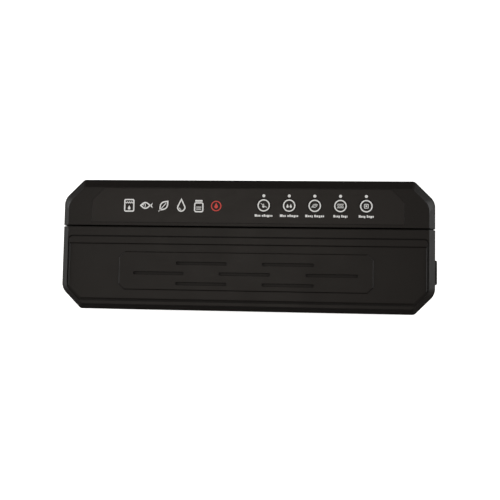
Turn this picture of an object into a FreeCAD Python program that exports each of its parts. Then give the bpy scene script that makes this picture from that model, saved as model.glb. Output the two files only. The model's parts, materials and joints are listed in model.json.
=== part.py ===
import FreeCAD, Part
import math
import os
from types import SimpleNamespace

import Sketcher

# Household bag vacuum sealer.
# Frame: origin at the bottom centre, +X to the user's right, +Y to the rear, +Z up; the lid
# opens at the front (-Y).  Millimetres.

# Driving dimensions: alias, value, meaning.
SIZES = [
    ("body_length", 372, "length over the lid and the control cover"),
    ("body_depth", 131, "depth over the lid and the control cover"),
    ("body_height", 58, "height over the feet"),
    ("corner_clip", 20, "clipped corner of the outline, along X and Y"),
    ("top_clip", 16.2, "clipped corner of the top face"),
    ("side_vertex_radius", 14, "rounding between a side and a clipped corner"),
    ("end_vertex_radius", 5, "rounding between the front or rear and a clipped corner"),
    ("bevel_height", 8, "height of the bevel round the top"),
    ("bevel_side", 7, "width of the bevel at the sides"),
    ("bevel_front", 5.3, "width of the bevel at the front"),
    ("bevel_rear", 8.7, "width of the bevel at the rear"),
    ("wall", 2.4, "wall of the lid, the cover and the base"),
    ("skin_level", 55.2, "underside of the top skin"),
    ("seam", 18, "Y of the seam between the lid and the cover"),
    ("seam_gap", 1.2, "width of the seam"),
    ("split_level", 35.4, "top of the base's rim, where the cover stands"),
    ("lid_level", 36.2, "lower edge of the closed lid"),
    ("base_inset", 2, "base rim inside the outline"),
    ("base_draft", 3, "how much further in the base is at its floor"),
    ("foot_height", 3, "height of the rubber feet"),
    ("floor_level", 5.5, "inside of the base's floor"),
    ("foot_radius", 7, "radius of a foot"),
    ("foot_reach", 155, "X of the feet"),
    ("foot_spread", 46, "Y of the feet"),
    ("hinge_back", 13.5, "Y of the hinge axis"),
    ("hinge_level", 54.5, "height of the hinge axis"),
    ("hinge_reach", 153, "X of the middle of each hinge post"),
    ("pin_radius", 1.1, "hinge pin"),
    ("pin_clearance", 0.05, "running clearance of the hinge pin"),
    ("rear_round", 1.2, "rounding of the lid's upper rear edge"),
    ("panel_reach", 155, "half length of the panel overlay"),
    ("panel_front", 21.7, "front edge of the panel overlay"),
    ("panel_rear", 56, "rear edge of the panel overlay"),
    ("panel_clip", 12.5, "clipped rear corners of the panel overlay"),
    ("film", 0.5, "thickness of the panel overlay"),
    ("first_key", 18.1, "X of the first key"),
    ("key_pitch", 25.08, "spacing of the keys"),
    ("key_line", 39.6, "Y of the keys"),
    ("light_line", 49.2, "Y of the indicator lights"),
    ("key_radius", 6.9, "radius of a key cap"),
    ("key_gap", 0.3, "gap round a key"),
    ("key_travel", 0.8, "travel of a key"),
    ("light_radius", 1.5, "radius of an indicator light"),
    ("deck_level", 36.4, "top of the chamber deck"),
    ("deck_underside", 32, "underside of the chamber deck"),
    ("chamber_reach", 150, "half length of the vacuum recess"),
    ("chamber_front", -33, "front of the vacuum recess"),
    ("chamber_rear", -7, "rear of the vacuum recess"),
    ("chamber_floor", 24, "floor of the vacuum recess"),
    ("gasket_width", 6, "width of the foam gaskets"),
    ("gasket_margin", 4, "deck between the recess and the gasket"),
    ("bar_line", -50.5, "Y of the sealing bar"),
    ("bar_reach", 152, "half length of the sealing bar"),
    ("hook_reach", 171.75, "X of the middle of a lid hook"),
    ("hook_line", -23.4, "Y of the hooks and the release buttons"),
    ("button_width", 24.5, "release button along Y"),
    ("button_top", 31.5, "upper edge of a release button"),
    ("button_bottom", 17.5, "lower edge of a release button"),
    ("button_face", 191.5, "X of a release button's face"),
    ("button_travel", 3, "travel of a release button"),
    ("groove_reach", 178.4, "X of the lid's perimeter groove"),
    ("groove_front", -57, "front edge of the lid's perimeter groove"),
    ("groove_rear", 8.2, "rear edge of the lid's perimeter groove"),
    ("groove_depth", 1.2, "depth of the lid's perimeter groove"),
    ("field_reach", 176.6, "half length of the lid's sunken field"),
    ("field_rear", 0.2, "rear edge of the lid's sunken field"),
    ("field_drop", 0.9, "how far the field lies under the rim"),
    ("pad_reach", 125.6, "half length of the lid's raised pad"),
    ("pad_front", -45.3, "front edge of the raised pad"),
    ("pad_rear", -7.9, "rear edge of the raised pad"),
    ("pad_rise", 0.8, "height of the raised pad over the field"),
    ("slot_length", 51, "length of a decorative slot"),
    ("slot_width", 3, "width of a decorative slot"),
    ("slot_pitch", 10.1, "spacing of the slot rows"),
    ("slot_middle", -28.9, "Y of the middle slot row"),
    ("groove_width", 1.2, "width of the perimeter groove at the sides"),
    ("groove_clip", 13.2, "clipped front corners of the perimeter groove"),
    ("field_clip", 11.6, "clipped front corners of the sunken field"),
    ("pad_clip", 5.6, "clipped corners of the raised pad"),
    ("slot_spread", 85.7, "X of the outer decorative slots"),
    ("bar_top", 38.2, "top of the heater bar"),
    ("strip_level", 39.1, "underside of the pressure strip"),
    ("plate_level", 43, "underside of the lid's inner plate"),
    ("plate_thickness", 2, "thickness of the lid's inner plate"),
    ("plate_rear", 8.6, "rear edge of the lid's inner plate"),
    ("lower_gasket_top", 39.4, "top of the lower gasket"),
    ("upper_gasket_low", 39.8, "underside of the upper gasket"),
    ("board_top", 47, "top of the control board"),
    ("board_thickness", 1.6, "thickness of a circuit board"),
    ("switch_top", 51.3, "top of the switches' plungers"),
    ("boss_radius", 3.2, "bosses that take the base screws"),
    ("pilot_radius", 1.35, "pilot holes for the base screws"),
    ("motor_line", 40, "Y of the pump motor"),
    ("motor_level", 22, "height of the pump motor's axis"),
    ("motor_radius", 13.5, "radius of the pump motor"),
    ("hose_line", -69, "X of the air hose"),
    ("hose_level", 11, "height of the air hose under the deck"),
    ("hose_bend", 6.4, "bend of the air hose, on its centre line"),
    ("nozzle_line", -20, "Y of the suction nozzle"),
    ("power_level", 10, "underside of the power board"),
    ("inlet_face", 62.9, "Y of the mains inlet's face"),
    ("inlet_flange", 1.9, "thickness of the inlet's flange"),
    ("inlet_spread", 4.3, "X of each inlet pin from the inlet's middle"),
    ("inlet_line", 140, "X of the mains inlet"),
    ("inlet_level", 19, "height of the mains inlet"),
]

DOC = FreeCAD.newDocument("vacuum_sealer")
SHEET = DOC.addObject("Spreadsheet::Sheet", "Sizes")


class Dim:
    """A size worked out from the sheet: its value, and the text of its expression."""

    def __init__(self, value, text):
        self.value = value
        self.text = text

    def mixed(self, other, sign, value):
        return Dim(value, "(%s %s %s)" % (self.text, sign, dim(other).text))

    def __add__(self, other):
        return self.mixed(other, "+", self.value + dim(other).value)

    def __sub__(self, other):
        return self.mixed(other, "-", self.value - dim(other).value)

    def __mul__(self, other):
        return self.mixed(other, "*", self.value * dim(other).value)

    def __truediv__(self, other):
        return self.mixed(other, "/", self.value / dim(other).value)

    def __neg__(self):
        return self * -1

    def __radd__(self, other):
        return dim(other) + self

    def __rsub__(self, other):
        return dim(other) - self


def dim(number):
    """The number as a Dim, or the Dim itself."""
    if isinstance(number, Dim):
        return number
    return Dim(float(number), "(%s)" % float(number))


def fill_sheet():
    """Write the driving dimensions to the sheet and return them as Dims by alias."""
    found = {}
    for row, (alias, value, meaning) in enumerate(SIZES, start=1):
        SHEET.set("A%d" % row, alias)
        SHEET.set("B%d" % row, str(value))
        SHEET.set("C%d" % row, meaning)
        SHEET.setAlias("B%d" % row, alias)
        found[alias] = Dim(float(value), "Sizes." + alias)
    DOC.recompute()
    return SimpleNamespace(**found)


S = fill_sheet()
HALF_LENGTH = S.body_length / 2
HALF_DEPTH = S.body_depth / 2
SHOULDER = S.body_height - S.bevel_height
HOLLOW_STEP = SHOULDER - 1
LID_REAR = S.seam - S.seam_gap / 2
COVER_FRONT = S.seam + S.seam_gap / 2
FIELD_LEVEL = S.body_height - S.field_drop
MIRROR = {"left": -1, "right": 1}
OVERLAP = 0.5    # how far a feature runs into the one it grows from
NODES = {}


# ---------------------------------------------------------------- helpers: booleans of primitives

def named(label, thing):
    """Keep a finished sub-part under its node name."""
    thing.Label = label
    NODES[label] = thing
    return thing


def put(thing, x, y, z, rotation=None):
    """Place a primitive, with each coordinate bound to the sheet."""
    where = [dim(x), dim(y), dim(z)]
    corner = FreeCAD.Vector(*[each.value for each in where])
    thing.Placement = FreeCAD.Placement(corner, rotation or FreeCAD.Rotation())
    for axis, each in zip("xyz", where):
        thing.setExpression("Placement.Base." + axis, each.text)
    return thing


def box(x, y, z):
    """A box between (low, high) pairs along X, Y and Z."""
    thing = DOC.addObject("Part::Box", "Block")
    for side, (low, high) in zip(("Length", "Width", "Height"), (x, y, z)):
        thing.setExpression(side, (dim(high) - dim(low)).text)
    return put(thing, x[0], y[0], z[0])


TURNED = {
    "x": FreeCAD.Rotation(FreeCAD.Vector(0, 1, 0), 90),
    "y": FreeCAD.Rotation(FreeCAD.Vector(1, 0, 0), -90),
    "z": FreeCAD.Rotation(),
}


def rod(radius, length, x, y, z, axis="z"):
    """A cylinder that starts at x, y, z and runs along an axis."""
    thing = DOC.addObject("Part::Cylinder", "Rod")
    thing.setExpression("Radius", dim(radius).text)
    thing.setExpression("Height", dim(length).text)
    return put(thing, x, y, z, TURNED[axis])


def fuse(*shapes):
    """One object from several: a solid where they touch, a group where they don't."""
    thing = DOC.addObject("Part::MultiFuse", "Joined")
    thing.Shapes = list(shapes)
    return thing


def cut(base, *tools):
    """The base with the tools taken away."""
    thing = DOC.addObject("Part::Cut", "Cut")
    thing.Base = base
    thing.Tool = tools[0] if len(tools) == 1 else fuse(*tools)
    return thing


def mirrored(sign, low, high):
    """An X range on the right (sign 1) or its mirror image on the left (sign -1)."""
    if sign > 0:
        return dim(low), dim(high)
    return -dim(high), -dim(low)


# ---------------------------------------------------------------- helpers: bodies and sketches

def new_body(label):
    return named(label, DOC.addObject("PartDesign::Body", "Body_" + label))


def new_sketch(body, plane, lift):
    """A sketch on one of the body's origin planes, lifted along the plane's normal."""
    base = next(each for each in body.Origin.OriginFeatures if each.Role == plane + "_Plane")
    sketch = body.newObject("Sketcher::SketchObject", "Outline")
    sketch.AttachmentSupport = [(base, "")]
    sketch.MapMode = "FlatFace"
    sketch.setExpression("AttachmentOffset.Base.z", dim(lift).text)
    return sketch


def bind(sketch, kind, *where, size):
    """Add a dimension constraint bound to the sheet."""
    index = sketch.addConstraint(Sketcher.Constraint(kind, *where, size.value))
    sketch.setExpression("Constraints[%d]" % index, size.text)


def outline(sketch, corners):
    """A closed outline through corners (x, y, radius); radius 0 keeps a corner sharp."""
    corners = [(dim(x), dim(y), dim(radius)) for x, y, radius in corners]
    spots = [FreeCAD.Vector(x.value, y.value, 0) for x, y, _ in corners]
    count = len(corners)
    starts, ends, centres = [], [], []
    for index, (_, _, radius) in enumerate(corners):
        here = spots[index]
        back = (spots[index - 1] - here).normalize()
        ahead = (spots[(index + 1) % count] - here).normalize()
        half_angle = back.getAngle(ahead) / 2
        reach = radius.value / math.tan(half_angle)
        starts.append(here + ahead * reach)
        ends.append(here + back * reach)
        toward = (back + ahead).normalize()
        centres.append(here + toward * (radius.value / math.sin(half_angle)))

    lines = []
    for index in range(count):
        line = Part.LineSegment(starts[index], ends[(index + 1) % count])
        lines.append(sketch.addGeometry(line))
    for index, (x, y, radius) in enumerate(corners):
        before, after = lines[index - 1], lines[index]
        if radius.value == 0:
            sketch.addConstraint(Sketcher.Constraint("Coincident", before, 2, after, 1))
            bind(sketch, "DistanceX", -1, 1, after, 1, size=x)
            bind(sketch, "DistanceY", -1, 1, after, 1, size=y)
            continue
        round_corner(sketch, before, after, centres[index], ends[index], starts[index], radius)
        corner = sketch.addGeometry(Part.Point(spots[index]), True)
        bind(sketch, "DistanceX", -1, 1, corner, 1, size=x)
        bind(sketch, "DistanceY", -1, 1, corner, 1, size=y)
        sketch.addConstraint(Sketcher.Constraint("PointOnObject", corner, 1, before))
        sketch.addConstraint(Sketcher.Constraint("PointOnObject", corner, 1, after))
    return sketch


def round_corner(sketch, before, after, centre, end, start, radius):
    """An arc of the given radius, tangent to the line before it and the line after it."""
    first = math.atan2(end.y - centre.y, end.x - centre.x)
    last = math.atan2(start.y - centre.y, start.x - centre.x)
    left_turn = (last - first) % (2 * math.pi) < math.pi
    if not left_turn:
        first, last = last, first
    circle = Part.Circle(centre, FreeCAD.Vector(0, 0, 1), radius.value)
    arc = sketch.addGeometry(Part.ArcOfCircle(circle, first, last))
    arrive, leave = (1, 2) if left_turn else (2, 1)
    sketch.addConstraint(Sketcher.Constraint("Tangent", before, 2, arc, arrive))
    sketch.addConstraint(Sketcher.Constraint("Tangent", after, 1, arc, leave))
    bind(sketch, "Radius", arc, size=radius)


def disc(sketch, x, y, radius):
    """A full circle."""
    x, y, radius = dim(x), dim(y), dim(radius)
    middle = FreeCAD.Vector(x.value, y.value, 0)
    index = sketch.addGeometry(Part.Circle(middle, FreeCAD.Vector(0, 0, 1), radius.value))
    bind(sketch, "DistanceX", -1, 1, index, 3, size=x)
    bind(sketch, "DistanceY", -1, 1, index, 3, size=y)
    bind(sketch, "Radius", index, size=radius)


def pad(body, sketch, length):
    """Add material along the sketch's normal."""
    feature = body.newObject("PartDesign::Pad", "Pad")
    feature.Profile = sketch
    feature.setExpression("Length", dim(length).text)
    DOC.recompute()
    return feature


def pocket(body, sketch, depth, midplane=False, up=False):
    """Cut material below the sketch, above it, or on both sides, and check that it cut."""
    before = body.Shape.Volume
    feature = body.newObject("PartDesign::Pocket", "Pocket")
    feature.Profile = sketch
    feature.setExpression("Length", dim(depth).text)
    if midplane:
        feature.Midplane = True
    feature.Reversed = up
    DOC.recompute()
    if body.Shape.Volume > before - 0.01:
        raise RuntimeError("%s in %s cuts nothing" % (feature.Name, body.Label))
    return feature


def loft(body, kind, low, high):
    """Blend two outlines, adding or taking material."""
    feature = body.newObject("PartDesign::%sLoft" % kind, "Loft")
    feature.Profile = low
    feature.Sections = [high]
    DOC.recompute()
    return feature


# ---------------------------------------------------------------- outlines

def front_outline(half, front, rear, clip, side_radius=0, end_radius=0):
    """The lid's outline: clipped at the front, square at the rear."""
    return [
        (-half, rear, 0),
        (-half, front + clip, side_radius),
        (-half + clip, front, end_radius),
        (half - clip, front, end_radius),
        (half, front + clip, side_radius),
        (half, rear, 0),
    ]


def rear_outline(half, front, rear, clip, side_radius=0, end_radius=0):
    """The control cover's outline: square at the front, clipped at the rear."""
    return [
        (half, front, 0),
        (half, rear - clip, side_radius),
        (half - clip, rear, end_radius),
        (-half + clip, rear, end_radius),
        (-half, rear - clip, side_radius),
        (-half, front, 0),
    ]


def full_outline(half, front, rear, clip, side_radius=0, end_radius=0):
    """An outline clipped at all four corners."""
    front_part = front_outline(half, front, rear, clip, side_radius, end_radius)[1:5]
    return front_part + rear_outline(half, front, rear, clip, side_radius, end_radius)[1:5]


def screw_bosses(body, places, top):
    """Bosses that take the base screws, down from the part that the base is screwed to."""
    pilot_depth = 14
    bosses = new_sketch(body, "XY", BOSS_FOOT)
    pilots = new_sketch(body, "XY", BOSS_FOOT)
    for x, y in places:
        disc(bosses, x, y, S.boss_radius)
        disc(pilots, x, y, S.pilot_radius)
    pad(body, bosses, top + OVERLAP - BOSS_FOOT)
    pocket(body, pilots, pilot_depth, up=True)


def screw(head_radius, head_height, shank_radius, shank_length, x, y, z):
    """A screw that points up, its head's underside at z."""
    head = rod(head_radius, head_height, x, y, z)
    shank_low = z + head_height - OVERLAP
    shank = rod(shank_radius, shank_length, x, y, shank_low)
    return fuse(head, shank)


def rectangle(x_low, x_high, y_low, y_high, radius=0):
    return [
        (x_low, y_low, radius),
        (x_high, y_low, radius),
        (x_high, y_high, radius),
        (x_low, y_high, radius),
    ]


# ---------------------------------------------------------------- base

def base_outline(inset, side_radius, end_radius):
    """The base's outline, a stated distance inside the lid's."""
    clip = S.corner_clip - inset * (2 - math.sqrt(2))
    return full_outline(
        HALF_LENGTH - inset, -HALF_DEPTH + inset, HALF_DEPTH - inset, clip,
        side_radius, end_radius,
    )


def foot_places():
    for depth_name, back in (("front", -1), ("rear", 1)):
        for side, sign in MIRROR.items():
            yield "foot_%s_%s" % (depth_name, side), S.foot_reach * sign, S.foot_spread * back


FRONT_SCREWS = [(-120, -53), (0, -53), (120, -53)]
REAR_SCREWS = [(-135, 55), (-12, 55), (165, 48)]
BASE_SCREWS = FRONT_SCREWS + REAR_SCREWS
STAND_TOP = S.floor_level + 2
BOSS_FOOT = STAND_TOP + 0.1


def base_shell():
    body = new_body("base_shell")
    floor_inset = S.base_inset + S.base_draft
    outside = (S.side_vertex_radius, S.end_vertex_radius)
    inside = (3, 2)
    low = outline(new_sketch(body, "XY", S.foot_height), base_outline(floor_inset, *outside))
    high = outline(new_sketch(body, "XY", S.split_level), base_outline(S.base_inset, *outside))
    loft(body, "Additive", low, high)
    low = outline(
        new_sketch(body, "XY", S.floor_level), base_outline(floor_inset + S.wall, *inside))
    high = outline(
        new_sketch(body, "XY", S.split_level + 0.01), base_outline(S.base_inset + S.wall, *inside))
    loft(body, "Subtractive", low, high)
    button_windows(body)
    inlet_opening(body)
    floor_holes(body)
    vents(body)


def button_windows(body):
    gap = 0.4
    corner_radius = 1.4
    depth = 12
    for sign in MIRROR.values():
        window = new_sketch(body, "YZ", HALF_LENGTH * sign)
        outline(window, rectangle(
            S.hook_line - S.button_width / 2 - gap, S.hook_line + S.button_width / 2 + gap,
            S.button_bottom - gap, S.button_top + gap, corner_radius,
        ))
        pocket(body, window, depth, up=sign < 0)


def inlet_opening(body):
    """A hole for the inlet and a shallow seat for its flange."""
    x, z = S.inlet_line, S.inlet_level
    opening = new_sketch(body, "XZ", -HALF_DEPTH)
    outline(opening, rectangle(x - 11, x + 11, z - 8, z + 8))
    opening_depth = 8
    pocket(body, opening, opening_depth, up=True)
    seat = new_sketch(body, "XZ", -HALF_DEPTH)
    outline(seat, rectangle(x - 14.2, x + 14.2, z - 9.7, z + 9.7))
    pocket(body, seat, HALF_DEPTH - S.inlet_face + S.inlet_flange + 0.05, up=True)


def floor_holes(body):
    """Stands and counterbored holes for the screws, and holes for the feet."""
    foot_stem_hole = 4
    stand_radius = 4
    screw_hole = 1.5
    counterbore = 3.1
    stands = new_sketch(body, "XY", S.floor_level - OVERLAP)
    holes = new_sketch(body, "XY", STAND_TOP + 1)
    heads = new_sketch(body, "XY", S.foot_height + 2)
    for x, y in BASE_SCREWS:
        disc(stands, x, y, stand_radius)
        disc(holes, x, y, screw_hole)
        disc(heads, x, y, counterbore)
    for _, x, y in foot_places():
        disc(holes, x, y, foot_stem_hole)
    pad(body, stands, STAND_TOP - S.floor_level + OVERLAP)
    pocket(body, holes, STAND_TOP + 1)
    pocket(body, heads, S.foot_height + 2)


def vents(body):
    """Slots in the floor under the pump."""
    count, first, pitch, width = 7, -132, 8, 3
    front, rear = 28, 52
    slots = new_sketch(body, "XY", S.floor_level + 1)
    for index in range(count):
        x = first + pitch * index
        outline(slots, rectangle(x, x + width, front, rear, 1.4))
    pocket(body, slots, S.floor_level + 1)


def feet():
    stem_radius = 3.95
    stem_top = 6.2
    into = 0.2
    for name, x, y in foot_places():
        tread = rod(S.foot_radius, S.foot_height, x, y, 0)
        stem_low = S.foot_height - into
        stem = rod(stem_radius, stem_top - stem_low, x, y, stem_low)
        named(name, fuse(tread, stem))


def base_screws():
    parts = []
    for x, y in BASE_SCREWS:
        parts.append(screw(2.9, 1.6, 1.3, 12.4, x, y, S.foot_height + 0.4))
    named("base_screws", fuse(*parts))


# ---------------------------------------------------------------- chamber deck

def ring_outline(sketch, outset):
    """The gasket's path round the vacuum recess, a stated distance outside it."""
    return outline(sketch, rectangle(
        -S.chamber_reach - outset, S.chamber_reach + outset,
        S.chamber_front - outset, S.chamber_rear + outset, 8,
    ))


def chamber_deck():
    """The deck under the lid, shaped whole and then cut into its three mouldings."""
    body = DOC.addObject("PartDesign::Body", "WholeDeck")
    inset = 5.8
    plate = outline(new_sketch(body, "XY", S.deck_underside), front_outline(
        HALF_LENGTH - inset, -HALF_DEPTH + inset, COVER_FRONT - 0.2, S.corner_clip))
    pad(body, plate, S.deck_level - S.deck_underside)
    vacuum_recess(body)
    seal_grooves(body)
    deck_openings(body)
    screw_bosses(body, FRONT_SCREWS, S.deck_underside)
    for sign in MIRROR.values():
        hinge_post(body, sign)
    split_deck(body)


def split_deck(body):
    """The sealing platform, the vacuum tray and the hinge rail, with a fine gap between."""
    gap = 0.1
    beside_tray = 2.3
    platform_rear = S.chamber_front - beside_tray
    rail_front = S.chamber_rear + beside_tray
    spans = {
        "sealing_platform": (-HALF_DEPTH, platform_rear),
        "vacuum_tray": (platform_rear + gap, rail_front - gap),
        "hinge_rail": (rail_front, COVER_FRONT),
    }
    for label, span in spans.items():
        moulding = DOC.addObject("Part::Common", "Moulding")
        moulding.Base = body
        moulding.Tool = box((-HALF_LENGTH, HALF_LENGTH), span, (0, S.body_height))
        named(label, moulding)


def vacuum_recess(body):
    """The tray under the deck, and the hole for the suction nozzle."""
    tray_wall = 2
    tray = new_sketch(body, "XY", S.chamber_floor - tray_wall)
    outline(tray, rectangle(
        -S.chamber_reach - tray_wall, S.chamber_reach + tray_wall,
        S.chamber_front - tray_wall, S.chamber_rear + tray_wall, 6,
    ))
    pad(body, tray, S.deck_underside - S.chamber_floor + tray_wall + OVERLAP)
    recess = new_sketch(body, "XY", S.deck_level)
    outline(recess, rectangle(
        -S.chamber_reach, S.chamber_reach, S.chamber_front, S.chamber_rear, 4))
    pocket(body, recess, S.deck_level - S.chamber_floor)
    nozzle_hole = new_sketch(body, "XY", S.chamber_floor + 1)
    disc(nozzle_hole, S.hose_line, S.nozzle_line, 3)
    pocket(body, nozzle_hole, tray_wall + 2)


GROOVE_FLOOR = 2    # depth of the gasket's groove and of the sealing bar's channel


def seal_grooves(body):
    """The groove that holds the gasket and the channel that holds the sealing bar."""
    play = 0.1
    groove = new_sketch(body, "XY", S.deck_level)
    ring_outline(groove, S.gasket_margin + S.gasket_width + play)
    ring_outline(groove, S.gasket_margin - play)
    pocket(body, groove, GROOVE_FLOOR)
    channel = new_sketch(body, "XY", S.deck_level)
    half_width = 4.2
    reach = S.bar_reach + 7
    outline(channel, rectangle(-reach, reach, S.bar_line - half_width, S.bar_line + half_width))
    pocket(body, channel, GROOVE_FLOOR)


def deck_openings(body):
    """Holes through the deck for the hooks and for the sealing bar's terminals."""
    through = new_sketch(body, "XY", S.deck_level)
    for sign in MIRROR.values():
        x_low, x_high = mirrored(sign, S.hook_reach - 4.6, S.hook_reach + 2.6)
        outline(through, rectangle(x_low, x_high, S.hook_line - 11.8, S.hook_line + 5, 1))
        x_low, x_high = mirrored(sign, S.bar_reach + 0.9, S.bar_reach + 6.1)
        outline(through, rectangle(x_low, x_high, S.bar_line - 1.6, S.bar_line + 1.6))
    pocket(body, through, S.deck_level - S.deck_underside + 1)


def hinge_post(body, sign):
    """A post that carries the hinge pin, with a web behind it."""
    thick = 6
    half = 2
    web_rear = COVER_FRONT - 0.2
    web_top = S.deck_level + 9.6
    profile = new_sketch(body, "YZ", S.hinge_reach * sign - thick / 2)
    outline(profile, [
        (S.hinge_back - half, S.deck_level - 1, 0),
        (web_rear, S.deck_level - 1, 0),
        (web_rear, web_top - half, 0),
        (S.hinge_back + half, web_top, 0),
        (S.hinge_back + half, S.hinge_level + half, half - 0.05),
        (S.hinge_back - half, S.hinge_level + half, half - 0.05),
    ])
    pad(body, profile, thick)
    bore = new_sketch(body, "YZ", S.hinge_reach * sign)
    disc(bore, S.hinge_back, S.hinge_level, S.pin_radius + S.pin_clearance)
    pocket(body, bore, thick + 2, midplane=True)


def gasket(label, low, high):
    body = new_body(label)
    ring = new_sketch(body, "XY", low)
    ring_outline(ring, S.gasket_margin + S.gasket_width)
    ring_outline(ring, S.gasket_margin)
    pad(body, ring, high - low)


def sealing_bar():
    reach = S.bar_reach
    line = S.bar_line
    foil = 0.2
    wire_top = S.bar_top + foil
    named("heater_bar", box(
        (-reach, reach), (line - 4, line + 4), (S.deck_level - GROOVE_FLOOR, S.bar_top)))
    named("heating_wire", box(
        (-reach - 4, reach + 4), (line - 1.5, line + 1.5), (S.bar_top, wire_top)))
    named("ptfe_tape", box(
        (-reach, reach), (line - 3.5, line + 3.5), (wire_top, wire_top + foil)))
    posts = []
    for sign in MIRROR.values():
        x = mirrored(sign, reach + 1, reach + 6)
        posts.append(box(x, (line - 1.5, line + 1.5), (S.deck_underside - 4, S.bar_top)))
    named("heater_terminals", fuse(*posts))
    named("pressure_strip", box(
        (-reach, reach), (line - 3, line + 3), (S.strip_level, S.plate_level)))


# ---------------------------------------------------------------- control cover

def key_places():
    for index in range(5):
        yield S.first_key + S.key_pitch * index


def panel_outline(gap):
    """The overlay's outline: square at the front, clipped at the rear."""
    return rear_outline(
        S.panel_reach + gap, S.panel_front - gap, S.panel_rear + gap, S.panel_clip)


BOARD_POSTS = [(x, y) for x in (6, 132) for y in (27.5, 53)]


def control_cover():
    body = new_body("control_cover")
    clip, side, end = S.corner_clip, S.side_vertex_radius, S.end_vertex_radius
    foot = rear_outline(HALF_LENGTH, COVER_FRONT, HALF_DEPTH, clip, side, end)
    brow = rear_outline(
        HALF_LENGTH - S.bevel_side, COVER_FRONT, HALF_DEPTH - S.bevel_rear, S.top_clip, side, end)
    pad(body, outline(new_sketch(body, "XY", S.split_level), foot), SHOULDER - S.split_level)
    low = outline(new_sketch(body, "XY", SHOULDER), foot)
    high = outline(new_sketch(body, "XY", S.body_height), brow)
    loft(body, "Additive", low, high)

    lower = new_sketch(body, "XY", S.split_level)
    outline(lower, rear_outline(
        HALF_LENGTH - S.wall, COVER_FRONT + S.wall, HALF_DEPTH - S.wall, clip))
    pocket(body, lower, HOLLOW_STEP - S.split_level, up=True)
    upper = new_sketch(body, "XY", HOLLOW_STEP)
    outline(upper, rear_outline(
        HALF_LENGTH - S.bevel_side - 2, COVER_FRONT + S.wall, HALF_DEPTH - S.bevel_rear - 1.5,
        S.top_clip))
    pocket(body, upper, S.skin_level - HOLLOW_STEP, up=True)

    tray = outline(new_sketch(body, "XY", S.body_height), panel_outline(0.1))
    pocket(body, tray, S.film)
    holes = new_sketch(body, "XY", S.body_height)
    key_holes(holes)
    pocket(body, holes, S.body_height - S.skin_level + 1)
    hanging_bosses(body, BOARD_POSTS, S.board_top, 3, 1.05, 7)
    screw_bosses(body, REAR_SCREWS, S.skin_level)


def key_holes(sketch):
    """Holes for the key caps and for the indicator lights."""
    light_play = 0.05
    for x in key_places():
        disc(sketch, x, S.key_line, S.key_radius + S.key_gap)
        disc(sketch, x, S.light_line, S.light_radius + light_play)


def hanging_bosses(body, places, low, radius, pilot, depth):
    """Bosses that hang from the top skin down to a level, with pilot holes."""
    bosses = new_sketch(body, "XY", low)
    pilots = new_sketch(body, "XY", low)
    for x, y in places:
        disc(bosses, x, y, radius)
        disc(pilots, x, y, pilot)
    pad(body, bosses, S.skin_level + OVERLAP - low)
    pocket(body, pilots, depth, up=True)


def panel_overlay():
    body = new_body("panel_overlay")
    face = outline(new_sketch(body, "XY", S.body_height - S.film), panel_outline(0))
    key_holes(face)
    pad(body, face, S.film)


KEY_NAMES = ["key_dry", "key_moist", "key_gentle", "key_seal", "key_stop"]


def keys():
    flange_top = S.skin_level - 0.3
    for name, x in zip(KEY_NAMES, key_places()):
        cap = rod(S.key_radius, S.body_height + 0.2 - flange_top, x, S.key_line, flange_top)
        flange = rod(S.key_radius + 0.9, 1, x, S.key_line, flange_top - 1)
        stem_low = S.switch_top + S.key_travel + 0.1
        stem = rod(2.5, flange_top - stem_low, x, S.key_line, stem_low)
        named(name, fuse(cap, flange, stem))


def indicator_lenses():
    low = S.board_top + 1
    pipes = [rod(S.light_radius, S.body_height - low, x, S.light_line, low) for x in key_places()]
    named("indicator_lenses", fuse(*pipes))


def control_board():
    board_low = S.board_top - S.board_thickness
    board = box((1, 137), (24, 56.5), (board_low, S.board_top))
    holes = [rod(1.5, 3, x, y, board_low - 0.4) for x, y in BOARD_POSTS]
    named("control_board", cut(board, *holes))
    half, case_height = 3, 3.5
    line = S.key_line
    case_top = S.board_top + case_height
    switches = []
    for x in key_places():
        case = box((x - half, x + half), (line - half, line + half), (S.board_top, case_top))
        plunger_low = case_top - OVERLAP
        plunger = rod(1.7, S.switch_top - plunger_low, x, line, plunger_low)
        switches.append(fuse(case, plunger))
    named("tact_switches", fuse(*switches))
    screws = [screw(2.4, 1.5, 1, 6.6, x, y, board_low - 1.5) for x, y in BOARD_POSTS]
    named("board_screws", fuse(*screws))


# ---------------------------------------------------------------- lid

PIN_LENGTH = 14
BRACKET_RIBS = [(-7.0, -3.5), (3.5, 7.0)]
LID_SCREWS = [(x, y) for x in (-140, 0, 140) for y in (-58.3, 6)]


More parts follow.
